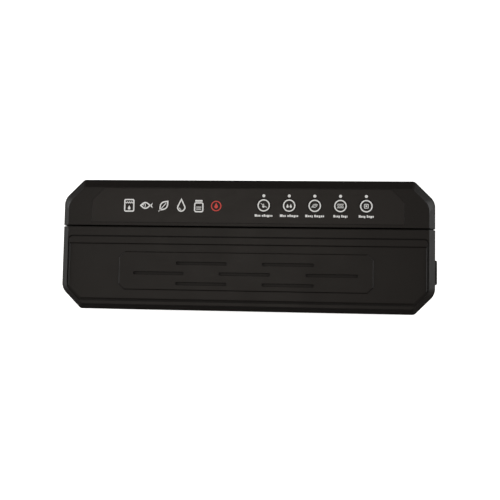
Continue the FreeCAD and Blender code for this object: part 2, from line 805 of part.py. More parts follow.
def lid_shell():
    body = new_body("lid_shell")
    clip, side, end = S.corner_clip, S.side_vertex_radius, S.end_vertex_radius
    foot = front_outline(HALF_LENGTH, -HALF_DEPTH, LID_REAR, clip, side, end)
    brow = front_outline(
        HALF_LENGTH - S.bevel_side, -HALF_DEPTH + S.bevel_front, LID_REAR, S.top_clip, side, end)
    pad(body, outline(new_sketch(body, "XY", S.lid_level), foot), SHOULDER - S.lid_level)
    low = outline(new_sketch(body, "XY", SHOULDER), foot)
    high = outline(new_sketch(body, "XY", S.body_height), brow)
    loft(body, "Additive", low, high)

    lower = new_sketch(body, "XY", S.lid_level)
    outline(lower, front_outline(
        HALF_LENGTH - S.wall, -HALF_DEPTH + S.wall, LID_REAR - S.wall, clip))
    pocket(body, lower, HOLLOW_STEP - S.lid_level, up=True)
    upper = new_sketch(body, "XY", HOLLOW_STEP)
    outline(upper, front_outline(
        HALF_LENGTH - S.bevel_side - 2, -HALF_DEPTH + S.bevel_front + 2, LID_REAR - S.wall,
        S.top_clip))
    pocket(body, upper, S.skin_level - HOLLOW_STEP, up=True)

    lid_rear_edge(body)
    lid_hinge_ribs(body)
    hanging_bosses(body, LID_SCREWS, S.plate_level + S.plate_thickness, 3, 1.25, 8)
    lid_top_relief(body)


def lid_rear_edge(body):
    """Open the rear wall below the hinge, and round and clip the edges that swing past."""
    low_wall = new_sketch(body, "XY", S.lid_level)
    half = HALF_LENGTH - S.wall
    outline(low_wall, rectangle(-half, half, LID_REAR - S.wall - 1, LID_REAR + 1))
    pocket(body, low_wall, HOLLOW_STEP - S.lid_level, up=True)

    whole_length = S.body_length + 2
    crown = new_sketch(body, "YZ", 0)
    edge_rounding(crown, LID_REAR, S.body_height, S.rear_round)
    pocket(body, crown, whole_length, midplane=True)

    heel = new_sketch(body, "YZ", 0)
    heel_front = LID_REAR - 6
    outline(heel, [
        (heel_front, S.lid_level - 1, 0),
        (LID_REAR + 1, S.lid_level - 1, 0),
        (LID_REAR + 1, S.lid_level + 7, 0),
        (heel_front, S.lid_level, 0),
    ])
    pocket(body, heel, whole_length, midplane=True)


def edge_rounding(sketch, edge, top, radius):
    """What a rounding takes away from the edge at (edge, top), as a closed outline."""
    spots = [
        (edge, top - radius),
        (edge + 1, top - radius),
        (edge + 1, top + 1),
        (edge - radius, top + 1),
        (edge - radius, top),
    ]
    points = [FreeCAD.Vector(x.value, y.value, 0) for x, y in spots]
    centre = FreeCAD.Vector(points[4].x, points[0].y, 0)
    circle = Part.Circle(centre, FreeCAD.Vector(0, 0, 1), radius.value)
    arc = sketch.addGeometry(Part.ArcOfCircle(circle, 0, math.pi / 2))
    bind(sketch, "DistanceX", -1, 1, arc, 3, size=edge - radius)
    bind(sketch, "DistanceY", -1, 1, arc, 3, size=top - radius)
    bind(sketch, "DistanceX", -1, 1, arc, 1, size=edge)
    bind(sketch, "DistanceY", -1, 1, arc, 1, size=top - radius)
    bind(sketch, "DistanceX", -1, 1, arc, 2, size=edge - radius)
    sides = [sketch.addGeometry(Part.LineSegment(*pair)) for pair in zip(points, points[1:])]
    arrivals = [(arc, 1)] + [(side, 2) for side in sides]
    departures = [(side, 1) for side in sides] + [(arc, 2)]
    for arrival, departure in zip(arrivals, departures):
        sketch.addConstraint(Sketcher.Constraint("Coincident", *arrival, *departure))
    for side, (x, y) in zip(sides[1:], spots[1:]):
        bind(sketch, "DistanceX", -1, 1, side, 1, size=x)
        bind(sketch, "DistanceY", -1, 1, side, 1, size=y)


def lid_hinge_ribs(body):
    """Two ribs at each hinge post that hold the pin, and room for the post between them."""
    room = 3.5
    half = 2.5
    skin_left = 1.1
    for sign in MIRROR.values():
        middle = S.hinge_reach * sign
        notch = new_sketch(body, "XY", HOLLOW_STEP)
        outline(notch, rectangle(
            middle - room, middle + room, LID_REAR - S.wall - 1, LID_REAR + 1))
        pocket(body, notch, S.skin_level - HOLLOW_STEP, up=True)
        relief = new_sketch(body, "XY", S.skin_level - OVERLAP)
        outline(relief, rectangle(
            middle - room, middle + room, S.hinge_back - half - 0.3, LID_REAR + 1))
        pocket(body, relief, S.body_height - S.skin_level + OVERLAP - skin_left, up=True)
        for low, high in BRACKET_RIBS:
            rib = new_sketch(body, "YZ", middle + low)
            outline(rib, [
                (S.hinge_back - half, S.hinge_level - half, 2),
                (S.hinge_back + half, S.hinge_level - half, 2),
                (S.hinge_back + half, S.skin_level + OVERLAP, 0),
                (S.hinge_back - half, S.skin_level + OVERLAP, 0),
            ])
            pad(body, rib, high - low)
        bore = new_sketch(body, "YZ", middle)
        disc(bore, S.hinge_back, S.hinge_level, S.pin_radius + 0.01)
        pocket(body, bore, PIN_LENGTH + 4, midplane=True)


def field_outline(outset):
    """The sunken field's outline, a stated distance outside its floor."""
    return front_outline(
        S.field_reach + outset, S.groove_front + 2.2 - outset, S.field_rear + outset,
        S.field_clip + outset * (2 - math.sqrt(2)))


def pad_outline(outset):
    """The raised pad's outline, a stated distance outside its middle height."""
    return full_outline(
        S.pad_reach + outset, S.pad_front - outset, S.pad_rear + outset,
        S.pad_clip + outset * (2 - math.sqrt(2)))


def lid_top_relief(body):
    """The perimeter groove, the sunken field with its sloped walls, the pad and the slots."""
    top = S.body_height
    slope = 0.45
    into = 0.2
    low = outline(new_sketch(body, "XY", FIELD_LEVEL), field_outline(-slope))
    high = outline(new_sketch(body, "XY", top + 0.01), field_outline(slope))
    loft(body, "Subtractive", low, high)
    low = outline(new_sketch(body, "XY", FIELD_LEVEL - into), pad_outline(slope))
    high = outline(new_sketch(body, "XY", FIELD_LEVEL + S.pad_rise), pad_outline(-slope))
    loft(body, "Additive", low, high)

    groove = new_sketch(body, "XY", top)
    outline(groove, front_channel(0, 4))
    outline(groove, front_channel(S.groove_width, 3))
    pocket(body, groove, S.groove_depth)

    slots = new_sketch(body, "XY", top)
    for x, y in slot_places():
        half_length = S.slot_length / 2
        half_width = S.slot_width / 2
        outline(slots, rectangle(
            x - half_length, x + half_length, y - half_width, y + half_width, 1.4))
    depth_in_pad = 1.4
    pocket(body, slots, S.field_drop - S.pad_rise + depth_in_pad)


def front_channel(inset, radius):
    """One edge of the perimeter groove."""
    half = S.groove_reach - inset
    front = S.groove_front + inset * 1.5
    clip = S.groove_clip
    rear = S.groove_rear - inset
    return [
        (-half, rear, radius),
        (-half, front + clip, 1),
        (-half + clip, front, 1),
        (half - clip, front, 1),
        (half, front + clip, 1),
        (half, rear, radius),
    ]


def slot_places():
    for row, columns in ((1, (-0.5, 0.5)), (0, (-1, 0, 1)), (-1, (-0.5, 0.5))):
        for column in columns:
            yield S.slot_spread * column, S.slot_middle + S.slot_pitch * row


def lid_inner_plate():
    body = new_body("lid_inner_plate")
    inset = S.wall + 0.4
    screw_hole = 1.7
    plate = outline(new_sketch(body, "XY", S.plate_level), front_outline(
        HALF_LENGTH - inset, -HALF_DEPTH + inset, S.plate_rear, S.corner_clip))
    pad(body, plate, S.plate_thickness)
    holes = new_sketch(body, "XY", S.plate_level + S.plate_thickness)
    for x, y in LID_SCREWS:
        disc(holes, x, y, screw_hole)
    pocket(body, holes, S.plate_thickness + 1)


def lid_screws():
    head_height = 1.6
    screws = [
        screw(2.5, head_height, 1.2, 10, x, y, S.plate_level - head_height)
        for x, y in LID_SCREWS
    ]
    named("lid_screws", fuse(*screws))


def hinge_pins():
    for side, sign in MIRROR.items():
        start = S.hinge_reach * sign - PIN_LENGTH / 2
        named("hinge_pin_" + side, rod(
            S.pin_radius, PIN_LENGTH, start, S.hinge_back, S.hinge_level, "x"))


def lid_hooks():
    """Hooks under the lid; the tooth faces inward."""
    thick = 3.5
    tooth_length = 2
    spread = 3
    hook_low, tooth_top = 24, 27
    inner, outer = S.hook_reach - thick / 2, S.hook_reach + thick / 2
    depth = (S.hook_line - 4, S.hook_line + 4)
    flange_depth = (S.hook_line - 6, S.hook_line + 6)
    flange_height = (S.plate_level - 2, S.plate_level)
    for side, sign in MIRROR.items():
        shaft = box(mirrored(sign, inner, outer), depth, (hook_low, S.plate_level))
        tooth = box(mirrored(sign, inner - tooth_length, inner), depth, (hook_low, tooth_top))
        flange = box(mirrored(sign, inner - spread, outer + spread), flange_depth, flange_height)
        named("lid_hook_" + side, fuse(shaft, tooth, flange))


# ---------------------------------------------------------------- side releases

BUTTON_ROOT = dim(177.4)


def rounded_cap(sign, half):
    """The button's cap, its face edges rounded."""
    cap = box(
        mirrored(sign, BUTTON_ROOT, S.button_face), (S.hook_line - half, S.hook_line + half),
        (S.button_bottom, S.button_top))
    rounded = DOC.addObject("Part::Fillet", "Rounded")
    rounded.Base = cap
    DOC.recompute()
    face_x = sign * S.button_face.value
    radius = 1.5
    edges = []
    for index, edge in enumerate(cap.Shape.Edges, start=1):
        if any(abs(vertex.X - face_x) < 0.01 for vertex in edge.Vertexes):
            edges.append((index, radius, radius))
    rounded.Edges = edges
    return rounded


def latches():
    """Release buttons: a hollow cap, two arms past the hook and a catch behind it."""
    half = S.button_width / 2
    line = S.hook_line
    wall = 2
    lip = 1.8
    cap_root = BUTTON_ROOT + wall
    catch_inner = S.hook_reach - 5.45
    catch_outer = catch_inner + 1.3
    arm_height = (25, 28.5)
    front_arm, rear_arm = (line - 10, line - 8), (line + 7, line + 9)
    for side, sign in MIRROR.items():
        hollow = box(
            mirrored(sign, BUTTON_ROOT - 1, S.button_face - wall),
            (line - half + wall, line + half - wall),
            (S.button_bottom + wall, S.button_top - wall))
        flange = box(
            mirrored(sign, BUTTON_ROOT, cap_root), (line - half - lip, line + half + lip),
            (S.button_bottom - wall, S.button_top))
        shell = cut(fuse(rounded_cap(sign, half), flange), hollow)
        arms = [box(mirrored(sign, catch_inner, cap_root), arm, arm_height)
                for arm in (front_arm, rear_arm)]
        catch = box(
            mirrored(sign, catch_inner, catch_outer), (front_arm[0], rear_arm[1]), arm_height)
        named("latch_button_" + side, fuse(shell, *arms, catch))
        latch_spring(side, sign)


def latch_spring(side, sign):
    """A coil spring that rides with the button."""
    coil_radius, wire_radius = 1.9, 0.3
    turns, pitch = 4, 2.8
    spring_level = 20.6
    body = new_body("latch_spring_" + side)
    wire = new_sketch(body, "XZ", 0)
    disc(wire, coil_radius, 0, wire_radius)
    coil = body.newObject("PartDesign::AdditiveHelix", "Coil")
    coil.Profile = wire
    coil.ReferenceAxis = (wire, ["V_Axis"])
    coil.Mode = "pitch-height-angle"
    coil.Pitch = pitch
    coil.Height = pitch * turns
    DOC.recompute()
    rotation = FreeCAD.Rotation(FreeCAD.Vector(0, 1, 0), -90 * sign)
    put(body, (BUTTON_ROOT - 0.4) * sign, S.hook_line, spring_level, rotation)


# ---------------------------------------------------------------- pump and air path

def air_system():
    pump()
    pump_mounting()
    suction_nozzle()
    valve_and_switch()


def pump():
    """A small diaphragm pump driven by a can motor."""
    line, level = S.motor_line, S.motor_level
    motor = rod(S.motor_radius, 42, -130, line, level, "x")
    shaft_cap = rod(5, 3, -133, line, level, "x")
    named("pump_motor", fuse(motor, shaft_cap))
    head = box((-87.9, -54), (26, 54), (9, 39))
    head_plate = box((-86, -56), (28, 52), (39, 43))
    nipple = rod(2.4, 8, S.hose_line, 18.5, S.hose_level, "y")
    named("pump_head", fuse(head, head_plate, nipple))


def pump_mounting():
    """A saddle under the motor and two rubber blocks under the head."""
    saddle = cut(
        box((-125, -93), (24, 56), (S.floor_level, S.motor_level - 1)),
        rod(S.motor_radius + 0.1, 34, -126, S.motor_line, S.motor_level, "x"),
        box((-126, -92), (27, 53), (S.floor_level + 1.5, 8)))
    named("pump_bracket", saddle)
    block_length = 8
    mounts = [box((x, x + block_length), (28, 52), (S.floor_level, 9)) for x in (-84, -66)]
    named("motor_mounts", fuse(*mounts))


def suction_nozzle():
    """A collar on the recess's floor and a barb for the hose under it."""
    x, y = S.hose_line, S.nozzle_line
    floor = S.chamber_floor
    collar = rod(4.5, 1.2, x, y, floor)
    neck = rod(2.95, 2.5, x, y, floor - 2)
    barb = rod(2.4, 4.6, x, y, floor - 6.4)
    bore = rod(1.2, 12, x, y, floor - 9)
    named("suction_nozzle", cut(fuse(collar, neck, barb), bore))


def valve_and_switch():
    """The solenoid release valve and the round pressure switch."""
    valve_body = box((-44, -24), (34, 54), (S.floor_level, 24))
    valve_port = rod(2.2, 8, -34, 26, 15, "y")
    named("release_valve", fuse(valve_body, valve_port))
    x, y, can_height = -8, 42, 9
    can = rod(9, can_height, x, y, S.floor_level)
    port = rod(2, 6, x, y, S.floor_level + can_height - OVERLAP)
    named("pressure_switch", fuse(can, port))


def air_hose():
    """A rubber hose from the pump head forward and up to the nozzle under the tray."""
    body = new_body("air_hose")
    back = 24
    low, bend, front = S.hose_level.value, S.hose_bend.value, S.nozzle_line.value
    high = S.chamber_floor.value - 2.2
    path = new_sketch(body, "YZ", S.hose_line)
    run = path.addGeometry(Part.LineSegment(
        FreeCAD.Vector(back, low, 0), FreeCAD.Vector(front + bend, low, 0)))
    centre = FreeCAD.Vector(front + bend, low + bend, 0)
    turn = path.addGeometry(Part.ArcOfCircle(
        Part.Circle(centre, FreeCAD.Vector(0, 0, 1), bend), math.pi, 1.5 * math.pi))
    rise = path.addGeometry(Part.LineSegment(
        FreeCAD.Vector(front, low + bend, 0), FreeCAD.Vector(front, high, 0)))
    path.addConstraint(Sketcher.Constraint("Coincident", run, 2, turn, 2))
    path.addConstraint(Sketcher.Constraint("Coincident", turn, 1, rise, 1))
    section = new_sketch(body, "XZ", -back)
    outer_radius, bore_radius = 3.6, 2.5
    disc(section, S.hose_line, S.hose_level, outer_radius)
    disc(section, S.hose_line, S.hose_level, bore_radius)
    feature = body.newObject("PartDesign::AdditivePipe", "Pipe")
    feature.Profile = section
    feature.Spine = (path, ["Edge1", "Edge2", "Edge3"])
    DOC.recompute()


# ---------------------------------------------------------------- electrics

def electrics():
    power_board()
    ribbon_cable()
    lid_switches()


def power_board():
    """The mains board on its posts, with the transformer, the relay and the capacitor."""
    level = S.power_level
    board_top = level + S.board_thickness
    board = box((40, 124), (25, 57), (level, board_top))
    posts = [
        rod(2.5, level - S.floor_level, x, y, S.floor_level)
        for x in (45, 119) for y in (30, 52)
    ]
    named("power_board", fuse(board, *posts))
    core = box((48, 82), (28, 54), (board_top, board_top + 26))
    coil = box((53, 77), (26, 56), (board_top + 5, board_top + 21))
    named("transformer", fuse(core, coil))
    named("filter_capacitor", rod(6, 22, 96, 44, board_top))
    named("relay", box((106, 121), (34, 52), (board_top, board_top + 15)))
    wires = [box((124, S.inlet_line - 11), (y, y + 2), (13, 15)) for y in (46, 50)]
    named("mains_wires", fuse(*wires))


def ribbon_cable():
    """The flat cable from the power board up to the control board."""
    board_gap = (S.power_level + S.board_thickness, S.board_top - S.board_thickness)
    named("ribbon_cable", box((88, 89), (28, 40), board_gap))


def lid_switches():
    """Switches under the deck, beside the hooks, that tell the board the lid is shut."""
    switches = []
    for sign in MIRROR.values():
        case = box(mirrored(sign, 153.5, 159.5), (-16, 4), (21.6, S.deck_underside))
        lever = box(mirrored(sign, 159.5, 161), (-15, 2), (26, 27))
        switches.append(fuse(case, lever))
    named("lid_switches", fuse(*switches))


def mains_inlet():
    """A two-pin figure-eight inlet in the rear wall."""
    x, z, face = S.inlet_line, S.inlet_level, S.inlet_face
    spread = S.inlet_spread
    lobe = 4.2
    floor = face - 13
    shell = fuse(
        box((x - 10.5, x + 10.5), (45, face), (z - 7.5, z + 7.5)),
        box((x - 14, x + 14), (face - S.inlet_flange, face), (z - 9.5, z + 9.5)))
    mouth = fuse(
        rod(lobe, 14, x - spread, floor, z, "y"),
        rod(lobe, 14, x + spread, floor, z, "y"),
        box((x - spread, x + spread), (floor, face + 1), (z - 3.6, z + 3.6)))
    named("mains_inlet", cut(shell, mouth))
    pins = [rod(1.2, 10.5, x + each, floor, z, "y") for each in (-spread, spread)]
    named("inlet_pins", fuse(*pins))


# ---------------------------------------------------------------- build, check, write

def main():
    base_shell()
    feet()
    base_screws()
    chamber_deck()
    gasket("lower_gasket", S.deck_level - GROOVE_FLOOR, S.lower_gasket_top)
    sealing_bar()
    control_cover()
    panel_overlay()
    keys()
    indicator_lenses()
    control_board()
    lid_shell()
    lid_inner_plate()
    gasket("upper_gasket", S.upper_gasket_low, S.plate_level)
    lid_screws()
    hinge_pins()
    lid_hooks()
    latches()
    air_system()
    air_hose()
    electrics()
    mains_inlet()
    DOC.recompute()

    faults = []
    for thing in DOC.Objects:
        if any(state in ("Invalid", "Error") for state in thing.State):
            faults.append("%s (%s): %s" % (thing.Label, thing.Name, thing.State))
    for label, thing in NODES.items():
        shape = thing.Shape
        if shape.isNull() or not shape.isValid() or not shape.Solids:
            faults.append("%s has no valid solid" % label)
    if faults:
        raise RuntimeError("\n".join(faults))

    os.makedirs("parts", exist_ok=True)
    for label, thing in NODES.items():
        shape = thing.Shape
        print("%-22s solids %2d  volume %10.1f" % (label, len(shape.Solids), shape.Volume))
        shape.exportStep("parts/%s.step" % label)
    print(len(NODES), "nodes")


main()
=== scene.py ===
import json
import math

import bmesh
import bpy
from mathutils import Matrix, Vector


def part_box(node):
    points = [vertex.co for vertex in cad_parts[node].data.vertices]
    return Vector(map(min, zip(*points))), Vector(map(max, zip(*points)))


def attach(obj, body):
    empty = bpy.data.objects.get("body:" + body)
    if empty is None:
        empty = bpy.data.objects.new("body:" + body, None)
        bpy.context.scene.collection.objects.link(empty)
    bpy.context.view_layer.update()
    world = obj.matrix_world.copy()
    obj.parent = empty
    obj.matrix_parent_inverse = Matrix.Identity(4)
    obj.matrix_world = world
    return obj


# Looks of the vacuum sealer: materials, printed marks, softened edges, floor, light and camera.
# Lengths are metres; MM turns millimetres into them.

MM = 0.001
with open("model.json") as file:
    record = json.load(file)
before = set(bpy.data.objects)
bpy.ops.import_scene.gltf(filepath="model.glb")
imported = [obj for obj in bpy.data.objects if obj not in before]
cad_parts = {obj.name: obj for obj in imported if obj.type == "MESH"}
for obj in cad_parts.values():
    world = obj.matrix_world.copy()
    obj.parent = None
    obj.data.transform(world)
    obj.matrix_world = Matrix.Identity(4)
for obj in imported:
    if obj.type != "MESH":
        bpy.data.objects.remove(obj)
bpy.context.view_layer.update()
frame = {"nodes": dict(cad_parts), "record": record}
NODES = frame["nodes"]
SLOT_OF = {part["node"]: part["material_slot"] for part in frame["record"]["subparts"]}
PANEL_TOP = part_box("panel_overlay")[1].z
KEY_NAMES = ["key_dry", "key_moist", "key_gentle", "key_seal", "key_stop"]


# ---------------------------------------------------------------- stage

CAMERA_LENS = 50.36                     # millimetres, on a full-frame sensor
SENSOR_WIDTH = 36
CAMERA_TURNS = (3.47, 4.66, 1.05)       # degrees: looking down, a little off square
CAMERA_PLACE = (0.0612, -0.0464)
CAMERA_RISE = 0.6856                    # height above the panel

COOL = (0.95, 0.98, 1.0)
WARM = (1.0, 0.93, 0.85)
SOFTBOX_SIDE = 0.9
MIDDLE = (0, 0, 0.03)                   # the point that every light is aimed at
LIGHTS = [                              # name, place, watts, colour
    ("softbox_left", (-1.2, 0.15, 0.28), 14, COOL),
    ("softbox_right", (1.2, 0.30, 0.28), 14.8, COOL),
    ("overhead", (-0.20, 0.05, 1.6), 7.3, WARM),
]
FLOOR_REACH = 3.0
FLOOR_GLOW = 0.82
STUDIO_FILL = 0.10


def add_camera():
    data = bpy.data.cameras.new("camera")
    data.lens = CAMERA_LENS
    data.sensor_width = SENSOR_WIDTH
    cam = bpy.data.objects.new("camera", data)
    cam.rotation_mode = "ZXY"
    cam.rotation_euler = [math.radians(each) for each in CAMERA_TURNS]
    cam.location = (*CAMERA_PLACE, PANEL_TOP + CAMERA_RISE)
    bpy.context.scene.collection.objects.link(cam)
    bpy.context.scene.camera = cam


def add_lights():
    """Square soft lights, all aimed at the middle of the part."""
    for name, place, power, color in LIGHTS:
        data = bpy.data.lights.new(name, "AREA")
        data.shape = "RECTANGLE"
        data.size = SOFTBOX_SIDE
        data.size_y = SOFTBOX_SIDE
        data.energy = power
        data.color = color
        light = bpy.data.objects.new(name, data)
        light.location = place
        aim = Vector(MIDDLE) - Vector(place)
        light.rotation_euler = aim.to_track_quat("-Z", "Y").to_euler()
        bpy.context.scene.collection.objects.link(light)


def add_floor():
    """White paper that stays out of the part's reflections."""
    reach = FLOOR_REACH
    corners = [(-reach, -reach, 0), (reach, -reach, 0), (reach, reach, 0), (-reach, reach, 0)]
    mesh = bpy.data.meshes.new("floor")
    mesh.from_pydata(corners, [], [(0, 1, 2, 3)])
    floor = bpy.data.objects.new("floor", mesh)
    bpy.context.scene.collection.objects.link(floor)
    look = Look("floor_paper")
    look.set("Base Color", (0.88, 0.88, 0.87, 1))
    look.set("Roughness", 0.9)
    look.set("Emission Color", (1, 1, 0.992, 1))
    look.set("Emission Strength", FLOOR_GLOW)
    mesh.materials.append(look.material)
    floor.visible_glossy = False


def add_world():
    world = bpy.data.worlds.new("studio")
    bpy.context.scene.world = world
    world.use_nodes = True
    back = world.node_tree.nodes["Background"]
    back.inputs["Color"].default_value = (1, 1, 1, 1)
    back.inputs["Strength"].default_value = STUDIO_FILL


# ---------------------------------------------------------------- material building blocks

class Look:
    """One material, with short calls for the nodes that several materials share."""

    def __init__(self, name):
        self.material = bpy.data.materials.new(name)
        self.material.use_nodes = True
        self.tree = self.material.node_tree
        self.shader = self.tree.nodes["Principled BSDF"]
        self.place = self.add("TexCoord").outputs["Object"]

    def add(self, kind, inputs=(), **settings):
        """A node; inputs are (socket name or index, value or output) pairs."""
        node = self.tree.nodes.new("ShaderNode" + kind)
        for key, value in settings.items():
            setattr(node, key, value)
        for socket, value in inputs:
            self.feed(node.inputs[socket], value)
        return node

    def feed(self, socket, value):
        if isinstance(value, bpy.types.NodeSocket):
            self.tree.links.new(value, socket)
        else:
            socket.default_value = value

    def set(self, socket, value):
        """Give one of the shader's own sockets a value or an output."""
        self.feed(self.shader.inputs[socket], value)

    def stretched(self, factors):
        """The object's coordinates, scaled along each axis."""
        mapping = self.add("Mapping", [("Vector", self.place), ("Scale", factors)])
        return mapping.outputs["Vector"]

    def noise(self, size, detail=2.0, stretch=(1, 1, 1), distortion=0.0):
        """Cloudy noise whose features are about size metres across."""
        return self.add("TexNoise", [
            ("Vector", self.stretched(stretch)), ("Scale", 1 / size), ("Detail", detail),
            ("Distortion", distortion),
        ]).outputs["Fac"]

    def cells(self, size):
        """Distance from the middle of each cell; cells are about size metres across."""
        return self.add("TexVoronoi", [
            ("Vector", self.place), ("Scale", 1 / size),
        ]).outputs["Distance"]

    def waves(self, size, direction):
        """Smooth parallel ridges, size metres from one to the next."""
        ridge_at_scale_one = 2 * math.pi / 20
        return self.add("TexWave", [
            ("Vector", self.place), ("Scale", ridge_at_scale_one / size),
        ], bands_direction=direction).outputs["Fac"]

    def math(self, operation, first, second):
        return self.add("Math", [(0, first), (1, second)], operation=operation).outputs["Value"]

    def remap(self, value, low, high, to_low, to_high):
        """Value from low..high to to_low..to_high, held at the ends."""
        return self.add("MapRange", [
            ("Value", value), ("From Min", low), ("From Max", high), ("To Min", to_low),
            ("To Max", to_high),
        ]).outputs["Result"]

    def blend(self, share, first, second):
        """First colour where share is 0, second where it is 1."""
        return self.add("Mix", [("Factor", share), ("A", first), ("B", second)],
                        data_type="RGBA").outputs[2]

    def crease(self, reach, darkest):
        """Ambient occlusion for painted shade: 1 in the open, down to darkest in a groove narrower
        than reach.
        """
        open_share = self.add("AmbientOcclusion", [("Distance", reach)], samples=8).outputs["AO"]
        buried, exposed = 0.35, 0.95
        return self.remap(open_share, buried, exposed, darkest, 1.0)

    def bump(self, height, depth, normal=None, strength=1.0):
        inputs = [("Height", height), ("Distance", depth), ("Strength", strength)]
        if normal is not None:
            inputs.append(("Normal", normal))
        return self.add("Bump", inputs).outputs["Normal"]

    def soft_edge(self, radius):
        """The normal with every edge rounded to a radius."""
        return self.add("Bevel", [("Radius", radius)], samples=6).outputs["Normal"]

    def edge_share(self, rounded):
        """1 on an edge and 0 on a flat face."""
        flat = self.add("NewGeometry").outputs["Normal"]
        facing = self.add("VectorMath", [(0, rounded), (1, flat)],
                          operation="DOT_PRODUCT").outputs["Value"]
        flat_from, edge_from = 0.995, 0.90
        return self.remap(facing, flat_from, edge_from, 0.0, 1.0)


def rgb(color, factor=1.0):
    """A colour with its alpha, lighter or darker by a factor."""
    return (*[each * factor for each in color], 1)


def moulded_plastic(name, color, roughness, grain, depth, specular=0.5, worn=0.35):
    """Injection-moulded plastic with an eroded grain, cloudy gloss, rubbed edges and painted shade
    in its creases.
    """
    look = Look(name)
    rounded = look.soft_edge(0.4 * MM)
    cloud = look.noise(38 * MM, 3.0)
    fine = look.noise(grain, 3.0)
    pits = look.cells(grain * 1.7)
    patchy = look.remap(look.noise(4 * MM, 3.0), 0.38, 0.62, 0.3, 1.0)
    rubbed = look.math("MULTIPLY", look.edge_share(rounded), patchy)
    deepest_shade = 0.25
    crease = look.crease(2.5 * MM, deepest_shade)

    tone = look.blend(cloud, rgb(color, 0.9), rgb(color, 1.1))
    speck = look.blend(look.remap(fine, 0.35, 0.65, 0.0, 1.0), rgb(color, 0.82), tone)
    pale = look.math("MULTIPLY", rubbed, worn)
    edge_color = tuple(each * 1.5 + 0.008 for each in color)
    surface = look.blend(pale, speck, rgb(edge_color))
    # Painted shade: the colour falls to a fifth in creases and grooves, where ambient occlusion
    # finds little open space.
    look.set("Base Color", look.blend(crease, rgb(color, 0.2), surface))
    look.set("Specular IOR Level", specular)

    gloss = look.remap(cloud, 0.3, 0.7, roughness - 0.035, roughness + 0.035)
    scuffs = look.remap(look.noise(9 * MM, 6.0, (1, 3.5, 1), 1.4), 0.60, 0.72, 0.0, -0.05)
    dull = look.remap(crease, deepest_shade, 1.0, 0.25, 0.0)
    rough = look.math("ADD", look.math("ADD", gloss, scuffs), dull)
    polish = look.math("MULTIPLY", rubbed, 0.06)
    look.set("Roughness", look.math("SUBTRACT", rough, polish))
    relief = look.math("ADD", fine, look.math("MULTIPLY", pits, 0.6))
    look.set("Normal", look.bump(relief, depth, rounded))
    return look


def brushed_metal(name, color, roughness, stretch, plating=0.0):
    """Metal with drawn lines along its length, stains and, if plated, a spangle."""
    look = Look(name)
    lines = look.noise(0.5 * MM, 4.0, stretch)
    stain = look.noise(6 * MM, 3.0)
    look.set("Metallic", 1.0)
    look.set("Base Color", look.blend(stain, rgb(color, 0.86), rgb(color, 1.04)))
    spangle = look.math("MULTIPLY", look.cells(2.4 * MM), plating)
    streaks = look.remap(lines, 0.3, 0.7, roughness - 0.08, roughness + 0.10)
    look.set("Roughness", look.math("ADD", streaks, spangle))
    look.set("Normal", look.bump(lines, 0.012 * MM, look.soft_edge(0.25 * MM)))
    return look


# ---------------------------------------------------------------- materials

def housing():
    """The warm black of the lid, the cover and the buttons."""
    color = (0.0088, 0.0068, 0.0055)
    return moulded_plastic("housing", color, roughness=0.47, grain=0.42 * MM, depth=0.010 * MM,
                           specular=0.20)


def inner_plastic():
    color = (0.0135, 0.0130, 0.0128)
    return moulded_plastic("inner_plastic", color, roughness=0.56, grain=0.6 * MM,
                           depth=0.016 * MM, specular=0.30)


def film_look(name, color, roughness):
    """Reverse-printed polyester film: almost flat, with a fine matt grain and hairlines."""
    look = Look(name)
    grain = look.noise(0.16 * MM, 2.0)
    smear = look.noise(22 * MM, 4.0, (1, 2.2, 1), 0.8)
    hair = look.remap(look.noise(2.2 * MM, 5.0, (0.12, 1, 1), 2.0), 0.66, 0.74, 0.0, -0.07)
    look.set("Base Color", look.blend(smear, rgb(color, 0.93), rgb(color, 1.07)))
    gloss = look.remap(smear, 0.3, 0.7, roughness - 0.03, roughness + 0.04)
    look.set("Roughness", look.math("ADD", gloss, hair))
    look.set("Normal", look.bump(grain, 0.003 * MM, look.soft_edge(0.12 * MM)))
    look.set("Specular IOR Level", 0.20)
    return look


def film():
    return film_look("film", (0.0142, 0.0116, 0.0100), 0.46)


def key_cap():
    return film_look("key_cap", (0.0118, 0.0096, 0.0080), 0.44)


def lens():
    """Frosted light guide: a milky face with faint depth."""
    look = Look("lens")
    haze = look.noise(0.5 * MM, 2.0)
    look.set("Base Color", look.blend(haze, (0.80, 0.80, 0.79, 1), (0.90, 0.90, 0.89, 1)))
    look.set("Roughness", look.remap(haze, 0.3, 0.7, 0.35, 0.5))
    look.set("Subsurface Weight", 0.25)
    look.set("Subsurface Radius", (0.5 * MM, 0.5 * MM, 0.5 * MM))
    look.set("Subsurface Scale", 1.0)
    look.set("Normal", look.bump(haze, 0.01 * MM, look.soft_edge(0.2 * MM)))
    return look


def ink(name, color):
    """Screen-printed ink: matt, a touch uneven where the mesh laid it down."""
    look = Look(name)
    mesh_x = look.waves(0.13 * MM, "X")
    mesh_y = look.waves(0.13 * MM, "Y")
    weave = look.math("MULTIPLY", mesh_x, mesh_y)
    cover = look.noise(1.1 * MM, 3.0)
    look.set("Base Color", look.blend(cover, rgb(color, 0.88), rgb(color, 1.05)))
    look.set("Roughness", look.remap(cover, 0.3, 0.7, 0.50, 0.62))
    look.set("Normal", look.bump(weave, 0.004 * MM))
    return look


def rubber_foot():
    color = (0.020, 0.020, 0.021)
    return moulded_plastic("rubber_foot", color, roughness=0.78, grain=0.9 * MM,
                           depth=0.03 * MM, specular=0.25, worn=0.2)


